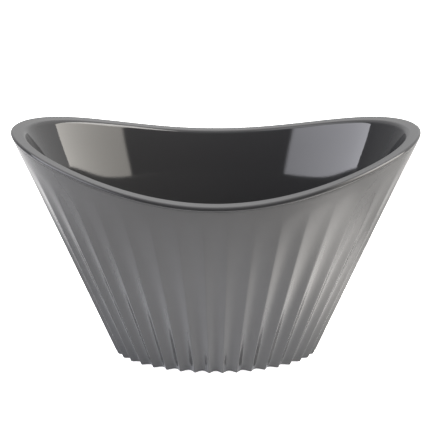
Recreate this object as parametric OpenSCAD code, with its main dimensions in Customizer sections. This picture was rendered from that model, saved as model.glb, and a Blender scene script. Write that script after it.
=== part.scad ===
// Deep oval serving bowl with a saddle-shaped rim, double walled.
// A fluted outer shell carries a smooth inner liner, whose flat rim covers the gap
// between the two walls and presses a thin seal into a groove in the shell's top edge.
// Millimetres, +Z up. Origin: centre of the face that the bowl rests on.
// The long side of the oval runs along X.

/* [Bowl] */
// Length over the two high ends of the rim
rim_length = 301.5; // [240:0.5:360]
// Width of the rim at its low middle
rim_width = 170.8; // [150:0.1:210]
// Height of the rim at the two ends
end_height = 184.8; // [165:0.1:210]
// Height of the rim at the middle of each long side
middle_height = 156.1; // [130:0.1:160]
// Length of the foot
foot_length = 158; // [150:1:180]
// Width of the foot
foot_width = 80; // [78:1:100]
// Power of the oval: 2 is a plain ellipse, less draws the ends in
plan_power = 1.92; // [1.85:0.01:2.1]
// How much the rim levels out towards its ends
rim_levelling = 0.44; // [0:0.02:0.8]

/* [Flutes] */
// Number of flutes round the outer shell
flute_count = 40; // [24:4:44]
// Depth of a flute at the foot
flute_depth = 3.7; // [0.5:0.1:4.2]
// Rounding of the ridges between the flutes at the foot
ridge_rounding = 0.05; // [0.02:0.01:0.4]
// How much rounder the ridges grow up to the rim
rounding_growth = 0.1; // [0:0.01:0.5]
// Height at which a flute runs out, as a share of the wall's height
flute_reach = 0.93; // [0.6:0.01:0.97]
// How far the flutes crowd towards the long sides, in degrees
flute_crowding = 2.3; // [0:0.1:4]

/* [Rim and walls] */
// Width of the flat top of the rim
rim_band = 10.2; // [9:0.1:14]
// Thickness of the liner's lip at its outer edge
lip_thickness = 3.2; // [2.8:0.1:4]
// Rounding of the lip's outer edge
lip_radius = 2.5; // [1:0.1:2.6]
// Rounding of the rim's inner edge
inner_edge_radius = 2.2; // [1:0.1:3]
// Thickness of the liner's wall
liner_wall = 2.6; // [2:0.1:3]
// Thickness of the liner's floor
liner_floor = 3; // [2:0.5:4]
// Radius between the liner's wall and its floor
floor_radius = 22; // [10:1:24]
// Thickness of the shell's wall at its top edge
shell_top_wall = 3.2; // [3:0.1:3.5]
// Thickness of the shell's wall at the foot, measured from the ridges
shell_foot_wall = 6.5; // [6:0.1:7]
// Gap between the lip and the shell's top edge
joint_gap = 0.1; // [0.05:0.05:0.3]
// How far the seal stands back from the outside
seal_inset = 1.2; // [0.8:0.1:1.4]
// Width of the seal
seal_width = 1; // [0.6:0.1:1.2]
// Depth of the seal's groove in the shell's top edge
seal_groove = 0.8; // [0.5:0.1:1.5]

/* [Base pad] */
// Length of the non-slip pad
pad_length = 128; // [90:1:132]
// Width of the non-slip pad
pad_width = 52; // [30:1:54]
// Thickness of the non-slip pad
pad_thickness = 2; // [1.5:0.1:2.5]
// How far the pad stands below the shell
pad_stand = 0.8; // [0.5:0.1:1.2]
// Gap between the pad and the edge of its recess
pad_gap = 0.3; // [0.1:0.1:0.5]

/* [Hidden] */

shell_floor = 3;
foot_z = pad_stand;
recess_z = pad_thickness;
shell_floor_z = recess_z + shell_floor;
bowl_floor_z = shell_floor_z + liner_floor;
foot_chamfer = 0.6;
edge_chamfer = 0.1;
groove_play = 0.15;
shell_drop = lip_thickness + joint_gap;
groove_drop = shell_drop + seal_groove;
groove_outer = seal_inset - groove_play;
groove_inner = seal_inset + seal_width + groove_play;
liner_outer = rim_band - liner_wall;
step_inset = shell_top_wall + 0.2;
step_drop = shell_drop + 3.5;
smooth_columns = 96;
steps_per_flute = 8;
fluted_columns = flute_count * steps_per_flute;
// How strongly the columns gather at the ridges, and the shape of a flute across and upwards
ridge_gather = 0.55;
scoop_power = 1.15;
fade_power = 0.85;

// Oval outline

function signed_power(v, p) = sign(v) * pow(abs(v), p);
function oval(angle, half_x, half_y) = [
    half_x * signed_power(cos(angle), 2 / plan_power),
    half_y * signed_power(sin(angle), 2 / plan_power)
];

// The wall is straight from foot to rim, so its half axes grow evenly with height.
// The width is reached lower than the length, because the rim dips along the sides.
function half_length(z) =
    foot_length / 2 + (rim_length - foot_length) / 2 * (z - foot_z) / (end_height - foot_z);
function half_width(z) =
    foot_width / 2 + (rim_width - foot_width) / 2 * (z - foot_z) / (middle_height - foot_z);
function wall_point(angle, z, inset) =
    let (p = oval(angle, half_length(z) - inset, half_width(z) - inset)) [p.x, p.y, z];

// Height of the rim's top surface over a place along the bowl's length
function rim_height(x) =
    let (u = pow(2 * x / rim_length, 2))
    middle_height + (end_height - middle_height) * ((1 + rim_levelling) * u - rim_levelling * u * u);

// Where the wall, at an inset, meets the surface that lies a drop below the rim
function meet_height(angle, inset, drop, z = end_height, rounds = 8) =
    rounds == 0 ? z
    : meet_height(angle, inset, drop,
                  rim_height(wall_point(angle, z, inset).x) - drop, rounds - 1);
function rim_point(angle, inset, drop) =
    wall_point(angle, meet_height(angle, inset, drop), inset);

// Flutes

// Place of a column in pitches: whole numbers are the flutes' deepest lines, halves the ridges
function column_place(i) =
    let (even = i / steps_per_flute) even + ridge_gather * sin(360 * even) / (2 * PI);
function column_angle(i) =
    let (even = 360 * column_place(i) / flute_count) even + flute_crowding * sin(2 * even);
// How deep a column is cut at a share of the wall's height
function cut_depth(i, share) =
    let (fade = pow(max(0, 1 - share / flute_reach), fade_power),
         rounding = pow(ridge_rounding + rounding_growth * share, 2),
         ridge = pow(rounding, scoop_power / 2),
         scoop = pow(pow(cos(180 * column_place(i)), 2) + rounding, scoop_power / 2) - ridge)
    flute_depth * fade * scoop / (pow(1 + rounding, scoop_power / 2) - ridge);

// A ring of the fluted wall, at a share of each column's own height
function fluted_ring(share) = [
    for (i = [0 : fluted_columns - 1])
    let (angle = column_angle(i),
         low = foot_z + foot_chamfer,
         high = meet_height(angle, 0, shell_drop + edge_chamfer))
    wall_point(angle, low + share * (high - low), cut_depth(i, share))
];

// Rings that follow the same columns without the flutes
function fluted_foot_ring() = [
    for (i = [0 : fluted_columns - 1])
    wall_point(column_angle(i), foot_z, foot_chamfer + cut_depth(i, 0))
];
function shell_rim_ring(inset, drop) = [
    for (i = [0 : fluted_columns - 1]) rim_point(column_angle(i), inset, drop)
];
function shell_level_ring(inset, z) = [
    for (i = [0 : fluted_columns - 1]) wall_point(column_angle(i), z, inset)
];
function recess_ring(z) = [
    for (i = [0 : fluted_columns - 1])
    let (p = oval(column_angle(i), pad_length / 2 + pad_gap, pad_width / 2 + pad_gap))
    [p.x, p.y, z]
];

// Plain rings for the liner and the seal
function smooth_angle(i) = 360 * i / smooth_columns;
function smooth_rim_ring(inset, drop) = [
    for (i = [0 : smooth_columns - 1]) rim_point(smooth_angle(i), inset, drop)
];
function smooth_level_ring(inset, z) = [
    for (i = [0 : smooth_columns - 1]) wall_point(smooth_angle(i), z, inset)
];
// A ring on the rounded corner between a wall and a floor: 0 is on the wall, 90 on the floor
function corner_ring(inset, floor_z, turn) =
    smooth_level_ring(inset + floor_radius * (1 - cos(turn)), floor_z + floor_radius * (1 - sin(turn)));

// Solids from rings

function band_faces(first, second, n) = [
    for (i = [0 : n - 1]) let (j = (i + 1) % n)
    each [[first + i, second + i, second + j], [first + i, second + j, first + j]]
];
// A closed solid whose first and last rings are flat and capped
module capped_solid(rings) {
    n = len(rings[0]);
    last = (len(rings) - 1) * n;
    polyhedron(
        points = [for (ring = rings) each ring],
        faces = concat(
            [[for (i = [0 : n - 1]) i]],
            [for (r = [0 : len(rings) - 2]) each band_faces(r * n, (r + 1) * n, n)],
            [[for (i = [n - 1 : -1 : 0]) last + i]]
        ),
        convexity = 6
    );
}
// A closed hoop whose last ring joins its first
module hoop_solid(rings) {
    n = len(rings[0]);
    count = len(rings);
    polyhedron(
        points = [for (ring = rings) each ring],
        faces = [for (r = [0 : count - 1]) each band_faces(r * n, ((r + 1) % count) * n, n)],
        convexity = 6
    );
}

// Fluted outside, with a groove on top for the seal and a recess underneath for the pad
module outer_shell() {
    wall_shares = [0, 0.22, 0.44, 0.66, 0.82, flute_reach, 1];
    color([0.43, 0.43, 0.44])
    capped_solid([
        recess_ring(recess_z),
        recess_ring(foot_z),
        fluted_foot_ring(),
        for (share = wall_shares) fluted_ring(share),
        shell_rim_ring(edge_chamfer, shell_drop),
        shell_rim_ring(groove_outer, shell_drop),
        shell_rim_ring(groove_outer, groove_drop),
        shell_rim_ring(groove_inner, groove_drop),
        shell_rim_ring(groove_inner, shell_drop),
        shell_rim_ring(shell_top_wall, shell_drop),
        shell_level_ring(shell_foot_wall, shell_floor_z + 1.5),
        shell_level_ring(shell_foot_wall + 1.5, shell_floor_z)
    ]);
}

// Smooth inside with the flat rim, the lip and the step that locates it in the shell
module inner_liner() {
    color([0.25, 0.25, 0.26])
    capped_solid([
        for (turn = [90 : -30 : 0]) corner_ring(liner_outer, shell_floor_z, turn),
        smooth_rim_ring(liner_outer, step_drop + 4),
        smooth_rim_ring(step_inset, step_drop),
        smooth_rim_ring(step_inset, lip_thickness),
        smooth_rim_ring(edge_chamfer, lip_thickness),
        smooth_rim_ring(0, lip_thickness - edge_chamfer),
        for (turn = [0 : 15 : 90])
            smooth_rim_ring(lip_radius * (1 - cos(turn)), lip_radius * (1 - sin(turn))),
        for (turn = [90 : -15 : 0])
            smooth_rim_ring(rim_band - inner_edge_radius * (1 - cos(turn)),
                            inner_edge_radius * (1 - sin(turn))),
        for (turn = [0 : 15 : 90]) corner_ring(rim_band, bowl_floor_z, turn)
    ]);
}

// Thin ring that the lip presses into the groove in the shell's top edge
module rim_seal() {
    color([0.16, 0.16, 0.16])
    hoop_solid([
        smooth_rim_ring(seal_inset + seal_width, groove_drop),
        smooth_rim_ring(seal_inset, groove_drop),
        smooth_rim_ring(seal_inset, lip_thickness),
        smooth_rim_ring(seal_inset + seal_width, lip_thickness)
    ]);
}

// Non-slip pad in the recess under the shell
module base_pad() {
    color([0.2, 0.2, 0.2])
    linear_extrude(height = pad_thickness)
    polygon([for (i = [0 : smooth_columns - 1]) oval(smooth_angle(i), pad_length / 2, pad_width / 2)]);
}

outer_shell();
inner_liner();
rim_seal();
base_pad();
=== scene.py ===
"""A deep oval serving bowl with a saddle-shaped rim and a fluted outside.

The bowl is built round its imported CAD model, in metres, +Z up, long side along X.
Each piece of it has an operator of its own in the sidebar's Bowl tab.
"""

import math

import bpy
import numpy as np
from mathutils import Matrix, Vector


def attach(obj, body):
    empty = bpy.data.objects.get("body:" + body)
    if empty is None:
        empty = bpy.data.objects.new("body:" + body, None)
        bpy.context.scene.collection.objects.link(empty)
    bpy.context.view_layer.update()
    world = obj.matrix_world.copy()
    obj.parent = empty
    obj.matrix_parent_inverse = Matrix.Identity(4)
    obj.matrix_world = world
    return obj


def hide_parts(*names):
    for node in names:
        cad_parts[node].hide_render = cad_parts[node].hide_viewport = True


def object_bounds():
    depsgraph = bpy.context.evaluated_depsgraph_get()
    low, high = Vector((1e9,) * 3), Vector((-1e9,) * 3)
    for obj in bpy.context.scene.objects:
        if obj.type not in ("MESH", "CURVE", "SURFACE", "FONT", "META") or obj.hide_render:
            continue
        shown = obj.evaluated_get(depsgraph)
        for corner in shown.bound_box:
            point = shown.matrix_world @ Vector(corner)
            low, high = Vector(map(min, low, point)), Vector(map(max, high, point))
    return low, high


bl_info = {
    "name": "Fluted Oval Bowl",
    "version": (1, 0, 0),
    "blender": (4, 5, 0),
    "location": "View3D > Sidebar > Bowl",
    "description": "Builds a double-walled oval serving bowl with a fluted outside",
    "category": "Add Mesh",
}

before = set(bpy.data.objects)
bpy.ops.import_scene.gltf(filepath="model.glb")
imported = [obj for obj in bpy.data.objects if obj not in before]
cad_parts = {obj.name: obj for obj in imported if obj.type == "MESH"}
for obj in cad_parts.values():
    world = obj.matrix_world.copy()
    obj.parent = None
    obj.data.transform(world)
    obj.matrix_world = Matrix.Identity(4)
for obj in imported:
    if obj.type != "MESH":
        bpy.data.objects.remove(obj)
CAD_LOW, CAD_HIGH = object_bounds()
MM = 0.001


# Sizes and colours that a user would change

def size(name, description, millimetres):
    """A length property whose default is given in millimetres."""
    return bpy.props.FloatProperty(
        name=name, description=description, default=millimetres * MM, min=0, unit="LENGTH", precision=4
    )


def colour(name, description, red, green, blue):
    """A linear colour property."""
    return bpy.props.FloatVectorProperty(
        name=name, description=description, default=(red, green, blue), min=0, max=1, subtype="COLOR"
    )


class BowlSizes(bpy.types.PropertyGroup):
    """The bowl's driving dimensions, the same as those of the CAD model."""

    rim_length: size("Rim length", "Length over the two high ends of the rim", 301.5)
    rim_width: size("Rim width", "Width of the rim at its low middle", 170.8)
    end_height: size("End height", "Height of the rim at the two ends", 184.8)
    middle_height: size("Middle height", "Height of the rim at the middle of each long side", 156.1)
    foot_length: size("Foot length", "Length of the foot", 158)
    foot_width: size("Foot width", "Width of the foot", 80)
    flute_depth: size("Flute depth", "Depth of a flute at the foot", 3.7)
    rim_band: size("Rim band", "Width of the flat top of the rim", 10.2)
    lip_thickness: size("Lip thickness", "Thickness of the liner's lip at its outer edge", 3.2)
    lip_radius: size("Lip radius", "Rounding of the lip's outer edge", 2.5)
    inner_edge_radius: size("Inner edge radius", "Rounding of the rim's inner edge", 2.2)
    liner_wall: size("Liner wall", "Thickness of the liner's wall", 2.6)
    liner_floor: size("Liner floor", "Thickness of the liner's floor", 3)
    floor_radius: size("Floor radius", "Radius between the liner's wall and its floor", 22)
    shell_top_wall: size("Shell wall at the top", "Thickness of the shell's wall at its top edge", 3.2)
    shell_foot_wall: size("Shell wall at the foot", "Thickness from the ridges inwards at the foot", 6.5)
    shell_floor: size("Shell floor", "Thickness of the shell's floor over the pad", 3)
    shell_edge_radius: size("Shell edge radius", "Rounding of the shell's top edge", 0.1)
    foot_rounding: size("Foot rounding", "Rounding of the foot's edge", 0.6)
    joint_gap: size("Joint gap", "Gap between the lip and the shell's top edge", 0.1)
    seal_inset: size("Seal inset", "How far the seal stands back from the outside", 1.2)
    seal_width: size("Seal width", "Width of the seal and of its groove", 1)
    seal_groove: size("Seal groove", "Depth of the seal's groove in the shell's top edge", 0.8)
    pad_length: size("Pad length", "Length of the non-slip pad", 128)
    pad_width: size("Pad width", "Width of the non-slip pad", 52)
    pad_thickness: size("Pad thickness", "Thickness of the non-slip pad", 2)
    pad_stand: size("Pad stand", "How far the pad stands below the shell", 0.8)
    pad_gap: size("Pad gap", "Gap between the pad and the edge of its recess", 0.3)
    flute_count: bpy.props.IntProperty(
        name="Flutes", description="Number of flutes round the shell", default=40, min=12, max=80
    )
    plan_power: bpy.props.FloatProperty(
        name="Oval power", description="2 is a plain ellipse, less draws the ends in", default=1.92
    )
    rim_levelling: bpy.props.FloatProperty(
        name="Rim levelling", description="How much the rim levels out towards its ends", default=0.44
    )
    flute_reach: bpy.props.FloatProperty(
        name="Flute reach", description="Share of the wall's height where a flute runs out", default=0.93
    )
    flute_crowding: bpy.props.FloatProperty(
        name="Flute crowding",
        description="How far the flutes crowd towards the long sides",
        default=math.radians(2.3),
        subtype="ANGLE",
    )


class BowlColours(bpy.types.PropertyGroup):
    """Base colours of the bowl's materials and of the stage."""

    shell: colour("Shell", "Moulded grey of the fluted outside", 0.033, 0.033, 0.034)
    liner: colour("Liner", "Moulded grey of the smooth inside", 0.024, 0.024, 0.0252)
    seal: colour("Seal", "Soft seal in the groove under the lip", 0.012, 0.012, 0.012)
    pad: colour("Pad", "Non-slip rubber under the foot", 0.02, 0.02, 0.021)
    floor: colour("Floor", "Pale floor that the bowl stands on", 0.9, 0.9, 0.9)


# The bowl's surfaces, as arrays of points


def signed_power(values, power):
    return np.sign(values) * np.abs(values) ** power


def rounded(radius, bend):
    """How far a rounded edge stands back from its two faces: bend 0 is on the first of them."""
    return radius * (1 - math.cos(bend)), radius * (1 - math.sin(bend))


class Shape:
    """The surfaces that the pieces share, worked out from the driving dimensions."""

    MEET_ROUNDS = 8

    def __init__(self, sizes):
        self.s = sizes
        self.foot_z = sizes.pad_stand
        self.recess_z = sizes.pad_thickness
        self.shell_floor_z = self.recess_z + sizes.shell_floor
        self.bowl_floor_z = self.shell_floor_z + sizes.liner_floor
        self.shell_drop = sizes.lip_thickness + sizes.joint_gap

    def oval(self, turn, half_x, half_y):
        power = 2 / self.s.plan_power
        return half_x * signed_power(np.cos(turn), power), half_y * signed_power(np.sin(turn), power)

    def wall(self, turn, z, inset):
        """Points on the straight wall, moved inwards by an inset."""
        s = self.s
        up = z - self.foot_z
        length_share = up / (s.end_height - self.foot_z)
        width_share = up / (s.middle_height - self.foot_z)
        half_x = s.foot_length / 2 + (s.rim_length - s.foot_length) / 2 * length_share
        half_y = s.foot_width / 2 + (s.rim_width - s.foot_width) / 2 * width_share
        x, y = self.oval(turn, half_x - inset, half_y - inset)
        return np.stack(np.broadcast_arrays(x, y, z), -1)

    def rim_height(self, x):
        """Height of the rim's top surface over a place along the bowl's length."""
        s = self.s
        u = (2 * x / s.rim_length) ** 2
        rise = (1 + s.rim_levelling) * u - s.rim_levelling * u * u
        return s.middle_height + (s.end_height - s.middle_height) * rise

    def meet_height(self, turn, inset, drop):
        """Where the wall, at an inset, meets the surface that lies a drop below the rim."""
        z = np.full_like(turn, self.s.end_height)
        for _ in range(self.MEET_ROUNDS):
            z = self.rim_height(self.wall(turn, z, inset)[..., 0]) - drop
        return z

    def rim_ring(self, turn, inset, drop):
        return self.wall(turn, self.meet_height(turn, inset, drop), inset)

    def level_ring(self, turn, inset, z):
        return self.wall(turn, np.full_like(turn, z), inset)

    def corner_ring(self, turn, inset, floor_z, bend):
        """A ring on the rounded corner between a wall and a floor."""
        inwards, upwards = rounded(self.s.floor_radius, bend)
        return self.level_ring(turn, inset + inwards, floor_z + upwards)

    def rounded_rim_ring(self, turn, inset, drop, radius, bend):
        """A ring on an outwards facing rounded edge under the rim."""
        inwards, downwards = rounded(radius, bend)
        return self.rim_ring(turn, inset + inwards, drop + downwards)


class Flutes:
    """Columns round the outer shell, gathered towards the ridges between the flutes."""

    STEPS = 18
    RIDGE_GATHER = 0.85
    SCOOP_POWER = 1.15
    RIDGE_ROUNDING = 0.05
    ROUNDING_GROWTH = 0.1
    FADE_POWER = 0.85

    def __init__(self, shape):
        self.shape = shape
        s = shape.s
        even = np.arange(s.flute_count * self.STEPS) / self.STEPS
        self.place = even + self.RIDGE_GATHER * np.sin(2 * math.pi * even) / (2 * math.pi)
        turn = 2 * math.pi * self.place / s.flute_count
        self.turn = turn + s.flute_crowding * np.sin(2 * turn)

    def cut(self, share):
        """How deep each column is cut at a share of the wall's height."""
        s = self.shape.s
        fade = max(0.0, 1 - share / s.flute_reach) ** self.FADE_POWER
        rounding = (self.RIDGE_ROUNDING + self.ROUNDING_GROWTH * share) ** 2
        half = self.SCOOP_POWER / 2
        ridge = rounding**half
        scoop = (np.cos(math.pi * self.place) ** 2 + rounding) ** half - ridge
        return s.flute_depth * fade * scoop / ((1 + rounding) ** half - ridge)

    def ring(self, share):
        """A ring of the fluted wall, at a share of each column's own height."""
        shape = self.shape
        low = shape.foot_z + shape.s.foot_rounding
        high = shape.meet_height(self.turn, 0, shape.shell_drop + shape.s.shell_edge_radius)
        return shape.wall(self.turn, low + share * (high - low), self.cut(share))


# Meshes


def quarter(count, start=0.0, end=math.pi / 2):
    """Evenly spread angles over a quarter turn, both ends included."""
    return np.linspace(start, end, count)


def new_piece(name, vertices, faces, material):
    """A smooth-shaded mesh object with one material."""
    mesh = bpy.data.meshes.new(name)
    mesh.from_pydata([tuple(v) for v in vertices], [], faces)
    mesh.validate()
    mesh.update()
    mesh.shade_smooth()
    mesh.materials.append(material)
    piece = bpy.data.objects.new(name, mesh)
    bpy.context.scene.collection.objects.link(piece)
    return piece


def band_faces(first, second, count):
    return [
        (first + i, second + i, second + (i + 1) % count, first + (i + 1) % count) for i in range(count)
    ]


def capped_solid(name, rings, material):
    """A closed solid through rings of points, with a fan over its first and last rings."""
    count = len(rings[0])
    centres = [ring.mean(0, keepdims=True) for ring in (rings[0], rings[-1])]
    vertices = np.concatenate(rings + centres)
    last = (len(rings) - 1) * count
    start_centre = len(rings) * count
    faces = [(start_centre, i, (i + 1) % count) for i in range(count)]
    for r in range(len(rings) - 1):
        faces += band_faces(r * count, (r + 1) * count, count)
    faces += [(start_centre + 1, last + (i + 1) % count, last + i) for i in range(count)]
    return new_piece(name, vertices, faces, material)


def hoop_solid(name, rings, material):
    """A closed hoop whose last ring joins its first."""
    count = len(rings[0])
    faces = []
    for r in range(len(rings)):
        faces += band_faces(r * count, (r + 1) % len(rings) * count, count)
    return new_piece(name, np.concatenate(rings), faces, material)


# Materials


class Value:
    """A socket that can be used in Python expressions; each operation adds a Math node."""

    def __init__(self, nodes, socket):
        self.nodes = nodes
        self.socket = socket

    def _math(self, operation, first, second):
        return self.nodes.add("ShaderNodeMath", {"operation": operation}, {0: first, 1: second})

    def __add__(self, other):
        return self._math("ADD", self, other)

    def __radd__(self, other):
        return self._math("ADD", other, self)

    def __sub__(self, other):
        return self._math("SUBTRACT", self, other)

    def __rsub__(self, other):
        return self._math("SUBTRACT", other, self)

    def __mul__(self, other):
        return self._math("MULTIPLY", self, other)

    def __rmul__(self, other):
        return self._math("MULTIPLY", other, self)


class Nodes:
    """Adds nodes to a material, a world or a light, and sets the sockets of a material's shader."""

    def __init__(self, owner):
        owner.use_nodes = True
        self.owner = owner
        self.tree = owner.node_tree

    def put(self, socket, value):
        if isinstance(value, Value):
            self.tree.links.new(value.socket, socket)
        else:
            socket.default_value = value

    def add(self, kind, settings=None, inputs=None, output=0):
        """One node of a kind, with its settings first, then values or links for its sockets."""
        node = self.tree.nodes.new(kind)
        for key, value in (settings or {}).items():
            setattr(node, key, value)
        for key, value in (inputs or {}).items():
            self.put(node.inputs[key], value)
        return Value(self, node.outputs[output])

    def noise(self, place, scale, detail=2.0, roughness=0.5):
        return self.add(
            "ShaderNodeTexNoise",
            inputs={"Vector": place, "Scale": scale, "Detail": detail, "Roughness": roughness},
        )

    def place(self):
        return self.add("ShaderNodeTexCoord", output="Object")

    def smooth_step(self, value, low, high):
        """A smooth rise from 0 at low to 1 at high; low may be the larger."""
        return self.add(
            "ShaderNodeMapRange",
            {"interpolation_type": "SMOOTHSTEP"},
            {"Value": value, "From Min": low, "From Max": high},
        )

    def mix_colours(self, factor, first, second):
        """A mix of two colours or links; the node's colour sockets are numbers 6 and 7."""
        first, second = (end if isinstance(end, Value) else (*end, 1) for end in (first, second))
        inputs = {0: factor, 6: first, 7: second}
        return self.add("ShaderNodeMix", {"data_type": "RGBA"}, inputs, output=2)

    def bump(self, height, strength, distance):
        return self.add(
            "ShaderNodeBump", inputs={"Height": height, "Strength": strength, "Distance": distance}
        )

    def finish(self, **inputs):
        shader = self.tree.nodes["Principled BSDF"]
        for key, value in inputs.items():
            self.put(shader.inputs[key.replace("_", " ")], value)
        return self.owner


def material_nodes(name):
    return Nodes(bpy.data.materials.new(name))


def tinted(base, factor):
    return tuple(channel * factor for channel in base)


def shell_material(base):
    """Satin moulded plastic: faint flow marks, a soft orange peel and uneven gloss."""
    nodes = material_nodes("shell_satin_plastic")
    place = nodes.place()
    flow = nodes.noise(place, 22.0, 3.0, 0.6)
    handling = nodes.noise(place, 60.0, 4.0, 0.65)
    peel = nodes.noise(place, 700.0, 1.0, 0.5)
    return nodes.finish(
        Base_Color=nodes.mix_colours(flow, tinted(base, 0.9), tinted(base, 1.1)),
        Roughness=0.155 + 0.05 * handling,
        Normal=nodes.bump(peel, 0.03, 0.0002),
    )


def liner_material(base):
    """Glossy moulded plastic with faint smears and a nearly flat surface."""
    nodes = material_nodes("liner_gloss_plastic")
    place = nodes.place()
    flow = nodes.noise(place, 14.0, 3.0, 0.6)
    smears = nodes.noise(place, 35.0, 4.0, 0.6)
    peel = nodes.noise(place, 900.0, 1.0, 0.5)
    return nodes.finish(
        Base_Color=nodes.mix_colours(flow, tinted(base, 0.94), tinted(base, 1.06)),
        Roughness=0.035 + 0.03 * smears,
        Normal=nodes.bump(peel, 0.02, 0.0002),
    )


def rubber_material(name, base):
    """Matte rubber with a fine grain."""
    nodes = material_nodes(name)
    place = nodes.place()
    grain = nodes.noise(place, 2600.0, 2.0, 0.6)
    bloom = nodes.noise(place, 50.0, 3.0, 0.6)
    return nodes.finish(
        Base_Color=nodes.mix_colours(bloom, tinted(base, 0.85), tinted(base, 1.2)),
        Roughness=0.6 + 0.2 * bloom,
        Normal=nodes.bump(grain, 0.3, 0.0003),
    )


def floor_material(base):
    """Evenly glowing pale paper."""
    nodes = material_nodes("floor_paper")
    tone = nodes.noise(nodes.place(), 3.0, 2.0, 0.5)
    return nodes.finish(
        Base_Color=nodes.mix_colours(tone, tinted(base, 0.99), base),
        Roughness=0.9,
        Emission_Color=(1, 1, 1, 1),
        Emission_Strength=0.9,
    )


def bounce_material(base):
    """Grey paper with painted shade behind to the right, and painted glows: a cool one near the bowl and
    a warm pool of painted light to its right.
    """
    nodes = material_nodes("bounce_paper")
    place = nodes.place()

    def spot(centre, edge, core):
        away = nodes.add(
            "ShaderNodeVectorMath", {"operation": "DISTANCE"}, {0: place, 1: centre}, output="Value"
        )
        return nodes.smooth_step(away, edge, core)

    # Painted light: the darker base colour behind to the right is painted shade, and the emission near
    # the bowl and in the warm pool to its right is a painted glow, not a lamp.
    painted_shade = spot((0.25, 0.25, 0), 0.3, 0.1)
    near = spot((0, -0.02, 0), 0.2, 0.08)
    painted_light_pool = spot((0.165, -0.06, 0), 0.11, 0.03)
    return nodes.finish(
        Base_Color=nodes.mix_colours(painted_shade, tinted(base, 0.85), tinted(base, 0.5)),
        Roughness=0.9,
        Emission_Color=nodes.mix_colours(
            painted_light_pool, nodes.mix_colours(near, (0, 0, 0), (0.29, 0.3, 0.325)), (1, 0.97, 0.93)
        ),
        Emission_Strength=2.25,
    )


# Pieces


def context_shape(context):
    return Shape(context.scene.bowl_sizes)


class BOWL_OT_outer_shell(bpy.types.Operator):
    """Build the fluted outer shell with its foot and the recess for the pad"""

    bl_idname = "bowl.outer_shell"
    bl_label = "Outer Shell"

    WALL_RINGS = 64
    EDGE_RINGS = 5
    GROOVE_PLAY = 0.15 * MM
    FLOOR_BEVEL = 1.5 * MM

    def execute(self, context):
        shape = context_shape(context)
        s = shape.s
        flutes = Flutes(shape)
        turn = flutes.turn
        recess_x, recess_y = shape.oval(turn, s.pad_length / 2 + s.pad_gap, s.pad_width / 2 + s.pad_gap)
        recess = [
            np.stack([recess_x, recess_y, np.full_like(turn, z)], -1)
            for z in (shape.recess_z, shape.foot_z)
        ]
        foot = [
            shape.level_ring(turn, inwards + flutes.cut(0), shape.foot_z + upwards)
            for inwards, upwards in (
                rounded(s.foot_rounding, bend) for bend in quarter(self.EDGE_RINGS, math.pi / 2, 0)[:-1]
            )
        ]
        wall = [flutes.ring(share) for share in np.linspace(0, 1, self.WALL_RINGS)]
        top = [
            shape.rounded_rim_ring(turn, 0, shape.shell_drop, s.shell_edge_radius, bend)
            for bend in quarter(self.EDGE_RINGS)[1:]
        ]
        groove_drop = shape.shell_drop + s.seal_groove
        groove_outer = s.seal_inset - self.GROOVE_PLAY
        groove_inner = s.seal_inset + s.seal_width + self.GROOVE_PLAY
        groove = [
            shape.rim_ring(turn, groove_outer, shape.shell_drop),
            shape.rim_ring(turn, groove_outer, groove_drop),
            shape.rim_ring(turn, groove_inner, groove_drop),
            shape.rim_ring(turn, groove_inner, shape.shell_drop),
        ]
        inside = [
            shape.rim_ring(turn, s.shell_top_wall, shape.shell_drop),
            shape.level_ring(turn, s.shell_foot_wall, shape.shell_floor_z + self.FLOOR_BEVEL),
            shape.level_ring(turn, s.shell_foot_wall + self.FLOOR_BEVEL, shape.shell_floor_z),
        ]
        piece = capped_solid(
            "outer_shell_fluted",
            recess + foot + wall + top + groove + inside,
            shell_material(context.scene.bowl_colours.shell),
        )
        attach(piece, "root")
        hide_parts("outer_shell")
        return {"FINISHED"}


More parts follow.
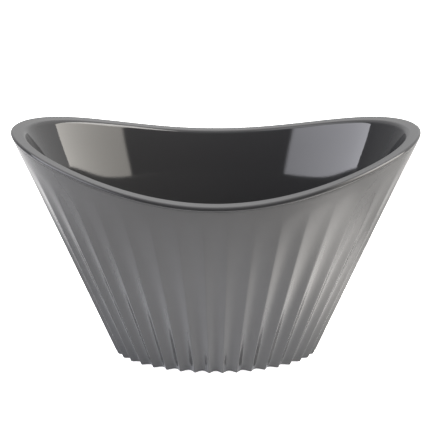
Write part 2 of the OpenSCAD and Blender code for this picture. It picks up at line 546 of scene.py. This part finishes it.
class BOWL_OT_inner_liner(bpy.types.Operator):
    """Build the smooth liner with its flat rim, its rounded lip and its locating step"""

    bl_idname = "bowl.inner_liner"
    bl_label = "Inner Liner"

    COLUMNS = 400
    EDGE_RINGS = 7
    CORNER_RINGS = 14
    WALL_RINGS = 12
    FLAT_SHARES = (0.06, 0.35, 0.65, 0.94)
    STEP_PLAY = 0.2 * MM
    STEP_DEPTH = 3.5 * MM
    STEP_SLOPE = 4 * MM
    LIP_BEVEL = 0.1 * MM

    def execute(self, context):
        shape = context_shape(context)
        s = shape.s
        turn = np.arange(self.COLUMNS) * 2 * math.pi / self.COLUMNS
        outer = s.rim_band - s.liner_wall
        step = s.shell_top_wall + self.STEP_PLAY
        step_drop = shape.shell_drop + self.STEP_DEPTH
        under = [
            shape.corner_ring(turn, outer, shape.shell_floor_z, bend)
            for bend in quarter(self.CORNER_RINGS, math.pi / 2, 0)
        ]
        locating = [
            shape.rim_ring(turn, outer, step_drop + self.STEP_SLOPE),
            shape.rim_ring(turn, step, step_drop),
            shape.rim_ring(turn, step, s.lip_thickness),
            shape.rim_ring(turn, self.LIP_BEVEL, s.lip_thickness),
            shape.rim_ring(turn, 0, s.lip_thickness - self.LIP_BEVEL),
        ]
        lip = [
            shape.rounded_rim_ring(turn, 0, 0, s.lip_radius, bend) for bend in quarter(self.EDGE_RINGS)
        ]
        flat_width = s.rim_band - s.lip_radius - s.inner_edge_radius
        flat = [shape.rim_ring(turn, s.lip_radius + flat_width * share, 0) for share in self.FLAT_SHARES]
        inner_edge = [
            shape.rim_ring(
                turn,
                s.rim_band - s.inner_edge_radius * (1 - math.cos(bend)),
                s.inner_edge_radius * (1 - math.sin(bend)),
            )
            for bend in quarter(self.EDGE_RINGS, math.pi / 2, 0)
        ]
        high = shape.meet_height(turn, s.rim_band, s.inner_edge_radius)
        low = shape.bowl_floor_z + s.floor_radius
        wall = [
            shape.wall(turn, high + share * (low - high), s.rim_band)
            for share in np.linspace(0, 1, self.WALL_RINGS)[1:-1]
        ]
        corner = [
            shape.corner_ring(turn, s.rim_band, shape.bowl_floor_z, bend)
            for bend in quarter(self.CORNER_RINGS)
        ]
        piece = capped_solid(
            "inner_liner_smooth",
            under + locating + lip + flat + inner_edge + wall + corner,
            liner_material(context.scene.bowl_colours.liner),
        )
        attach(piece, "root")
        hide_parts("inner_liner")
        return {"FINISHED"}


class BOWL_OT_rim_seal(bpy.types.Operator):
    """Build the thin seal in its groove under the lip"""

    bl_idname = "bowl.rim_seal"
    bl_label = "Rim Seal"

    COLUMNS = 400

    def execute(self, context):
        shape = context_shape(context)
        s = shape.s
        turn = np.arange(self.COLUMNS) * 2 * math.pi / self.COLUMNS
        groove_drop = shape.shell_drop + s.seal_groove
        inner = s.seal_inset + s.seal_width
        piece = hoop_solid(
            "rim_seal_ring",
            [
                shape.rim_ring(turn, inner, groove_drop),
                shape.rim_ring(turn, s.seal_inset, groove_drop),
                shape.rim_ring(turn, s.seal_inset, s.lip_thickness),
                shape.rim_ring(turn, inner, s.lip_thickness),
            ],
            rubber_material("seal_rubber", context.scene.bowl_colours.seal),
        )
        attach(piece, "root")
        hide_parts("rim_seal")
        return {"FINISHED"}


class BOWL_OT_base_pad(bpy.types.Operator):
    """Build the non-slip pad, with shallow grip grooves that follow its outline"""

    bl_idname = "bowl.base_pad"
    bl_label = "Base Pad"

    COLUMNS = 160
    GROOVES = 5
    GROOVE_DEPTH = 0.5 * MM
    GROOVE_HALF = 0.7 * MM
    GROOVE_RINGS = 7
    EDGE_ROUNDING = 0.4 * MM
    EDGE_RINGS = 4
    FIRST_GROOVE = 3 * MM

    def execute(self, context):
        shape = context_shape(context)
        s = shape.s
        turn = np.arange(self.COLUMNS) * 2 * math.pi / self.COLUMNS

        def ring(inset, z):
            x, y = shape.oval(turn, s.pad_length / 2 - inset, s.pad_width / 2 - inset)
            return np.stack([x, y, np.full_like(turn, z)], -1)

        rounding = self.EDGE_ROUNDING
        rings = [ring(rounding, s.pad_thickness), ring(0, s.pad_thickness - rounding)]
        rings += [ring(*rounded(rounding, bend)) for bend in quarter(self.EDGE_RINGS)]
        pitch = (s.pad_width / 2 - self.FIRST_GROOVE) / self.GROOVES
        for groove in range(self.GROOVES):
            middle = self.FIRST_GROOVE + pitch * groove
            for offset in np.linspace(-1, 1, self.GROOVE_RINGS):
                depth = self.GROOVE_DEPTH * (1 - offset * offset)
                rings.append(ring(middle + offset * self.GROOVE_HALF, depth))
        rubber = rubber_material("pad_rubber", context.scene.bowl_colours.pad)
        piece = capped_solid("base_pad_grip", rings, rubber)
        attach(piece, "root")
        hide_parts("base_pad")
        return {"FINISHED"}


# Stage

PANEL_EDGE = 0.04


def direction(azimuth, elevation):
    """A direction in degrees. Azimuth 0 is the front, and it grows towards +X."""
    turn, rise = math.radians(azimuth), math.radians(elevation)
    return Vector((math.sin(turn) * math.cos(rise), -math.cos(turn) * math.cos(rise), math.sin(rise)))


def panel_light(name, azimuth, elevation, distance, width, height, radiance, graded, lean, tint):
    """A flat soft light that faces the bowl.

    It is graded from its side nearer to the front to its far side, and its near side leans.
    """
    data = bpy.data.lights.new(name, "AREA")
    data.shape = "RECTANGLE"
    data.size = width
    data.size_y = height
    data.energy = radiance * math.pi * width * height
    data.color = tint
    nodes = Nodes(data)
    place = nodes.add("ShaderNodeNewGeometry", output="Parametric")
    across = nodes.add("ShaderNodeSeparateXYZ", inputs={0: place}, output="X")
    up = nodes.add("ShaderNodeSeparateXYZ", inputs={0: place}, output="Y")
    if azimuth < 0:
        across = 1.0 - across
    lit = nodes.smooth_step(across - lean * up, 0.0, PANEL_EDGE)
    near, far = graded
    nodes.put(nodes.tree.nodes["Emission"].inputs["Strength"], lit * (near + (far - near) * across))
    light = bpy.data.objects.new(name, data)
    bpy.context.scene.collection.objects.link(light)
    target = (CAD_LOW + CAD_HIGH) / 2
    away = direction(azimuth, elevation)
    light.location = target + away * distance
    light.rotation_euler = away.to_track_quat("Z", "Y").to_euler()
    light.visible_camera = False
    return light


class BOWL_OT_stage(bpy.types.Operator):
    """Build the pale floor, the soft lights and the camera"""

    bl_idname = "bowl.stage"
    bl_label = "Stage"

    # Name, azimuth, elevation, distance, width, height, radiance, grading, lean and tint
    PANELS = (
        ("right_panel", 61, 20, 1.2, 1.34, 1.0, 6.4, (0.58, 1.12), 0.3, (1.0, 0.955, 0.88)),
        ("left_panel", -53, 20, 1.2, 1.41, 1.0, 5.6, (0.58, 1.3), 0.33, (0.93, 0.93, 1.0)),
        ("high_right_panel", 75, 55, 1.5, 0.9, 0.9, 10.0, (1, 1), 0, (1.0, 0.97, 0.93)),
        ("high_left_panel", -75, 55, 1.5, 0.9, 0.9, 2.0, (1, 1), 0, (0.95, 0.97, 1.0)),
    )
    AMBIENT = 0.05
    # Azimuth, elevation and spread in degrees, then radiance
    GLOWS = (
        (120, 22, 70, 1.4),
        (-150, 45, 50, 0.8),
        (-125, 0, 60, 0.4),
        (0, 90, 55, 0.75),
        (180, 16, 40, 0.45),
    )
    FLOOR_HALF = 6.0
    FLOOR_GAP = 0.05 * MM
    BOUNCE_GAP = 0.5 * MM
    TABLE_LOW = (-0.9, -0.28)
    TABLE_HIGH = (0.9, 0.9)
    CAMERA_DISTANCE = 0.906
    CAMERA_RISE = math.radians(23)
    AIM_HEIGHT = 0.1152
    AIM_SIDE = -0.0006
    SENSOR_WIDTH = 36
    LENS_PER_SENSOR_WIDTH = 2.7907

    def execute(self, context):
        self.make_floors(context)
        self.make_camera(context)
        self.make_world(context)
        for panel in self.PANELS:
            panel_light(*panel)
        context.scene.view_settings.view_transform = "Standard"
        return {"FINISHED"}

    def make_floors(self, context):
        """A white floor that only the camera sees, and just under it the one that lights the bowl."""
        base = context.scene.bowl_colours.floor
        half = self.FLOOR_HALF
        height = CAD_LOW.z - self.FLOOR_GAP
        seen = self.make_floor("floor", (-half, -half), (half, half), height, floor_material(base))
        seen.visible_diffuse = False
        seen.visible_glossy = False
        seen.visible_shadow = False
        height = CAD_LOW.z - self.BOUNCE_GAP
        material = bounce_material(base)
        lit = self.make_floor("floor_bounce", self.TABLE_LOW, self.TABLE_HIGH, height, material)
        lit.visible_camera = False

    def make_floor(self, name, low, high, height, material):
        floor = new_piece(
            name,
            [(x, y, height) for x, y in ((low[0], low[1]), (high[0], low[1]), high, (low[0], high[1]))],
            [(0, 1, 2, 3)],
            material,
        )
        return floor

    def make_camera(self, context):
        data = bpy.data.cameras.new("camera")
        data.sensor_width = self.SENSOR_WIDTH
        data.lens = self.SENSOR_WIDTH * self.LENS_PER_SENSOR_WIDTH
        camera = bpy.data.objects.new("camera", data)
        context.scene.collection.objects.link(camera)
        back = Vector((0, -math.cos(self.CAMERA_RISE), math.sin(self.CAMERA_RISE)))
        camera.location = Vector((self.AIM_SIDE, 0, self.AIM_HEIGHT)) + back * self.CAMERA_DISTANCE
        camera.rotation_euler = back.to_track_quat("Z", "Y").to_euler()
        context.scene.camera = camera

    def make_world(self, context):
        """Studio walls and ceiling: bright overhead and behind, most to the right, dark in front."""
        nodes = Nodes(bpy.data.worlds.new("studio"))
        looking = nodes.add("ShaderNodeTexCoord", output="Generated")
        strength = self.AMBIENT
        for azimuth, elevation, spread, radiance in self.GLOWS:
            facing = nodes.add(
                "ShaderNodeVectorMath",
                {"operation": "DOT_PRODUCT"},
                {0: looking, 1: direction(azimuth, elevation)},
                output="Value",
            )
            glow = nodes.add(
                "ShaderNodeMapRange",
                {"interpolation_type": "SMOOTHSTEP"},
                {"Value": facing, "From Min": math.cos(math.radians(spread)), "To Max": radiance},
            )
            strength = strength + glow
        light = nodes.add("ShaderNodeBackground", inputs={"Color": (1, 1, 1, 1), "Strength": strength})
        seen = nodes.add("ShaderNodeBackground", inputs={"Color": (1, 1, 1, 1), "Strength": 1.0})
        camera_ray = nodes.add("ShaderNodeLightPath", output="Is Camera Ray")
        mix = nodes.add("ShaderNodeMixShader", inputs={0: camera_ray, 1: light, 2: seen})
        nodes.put(nodes.tree.nodes["World Output"].inputs["Surface"], mix)
        context.scene.world = nodes.owner


PIECES = (BOWL_OT_outer_shell, BOWL_OT_inner_liner, BOWL_OT_rim_seal, BOWL_OT_base_pad)


class BOWL_PT_sidebar(bpy.types.Panel):
    """Buttons for the bowl's pieces, with its sizes and colours"""

    bl_label = "Fluted Oval Bowl"
    bl_idname = "BOWL_PT_sidebar"
    bl_space_type = "VIEW_3D"
    bl_region_type = "UI"
    bl_category = "Bowl"

    def draw(self, context):
        for operator in (BOWL_OT_stage, *PIECES):
            self.layout.operator(operator.bl_idname)
        for group in (context.scene.bowl_sizes, context.scene.bowl_colours):
            column = self.layout.column(align=True)
            for name in group.bl_rna.properties.keys():
                if name not in ("name", "rna_type"):
                    column.prop(group, name)


CLASSES = (BowlSizes, BowlColours, BOWL_OT_stage, *PIECES, BOWL_PT_sidebar)


def register():
    for cls in CLASSES:
        bpy.utils.register_class(cls)
    bpy.types.Scene.bowl_sizes = bpy.props.PointerProperty(type=BowlSizes)
    bpy.types.Scene.bowl_colours = bpy.props.PointerProperty(type=BowlColours)


def unregister():
    del bpy.types.Scene.bowl_colours
    del bpy.types.Scene.bowl_sizes
    for cls in reversed(CLASSES):
        bpy.utils.unregister_class(cls)


def main():
    register()
    bpy.ops.bowl.stage()
    bpy.ops.bowl.outer_shell()
    bpy.ops.bowl.inner_liner()
    bpy.ops.bowl.rim_seal()
    bpy.ops.bowl.base_pad()


if __name__ == "__main__":
    main()
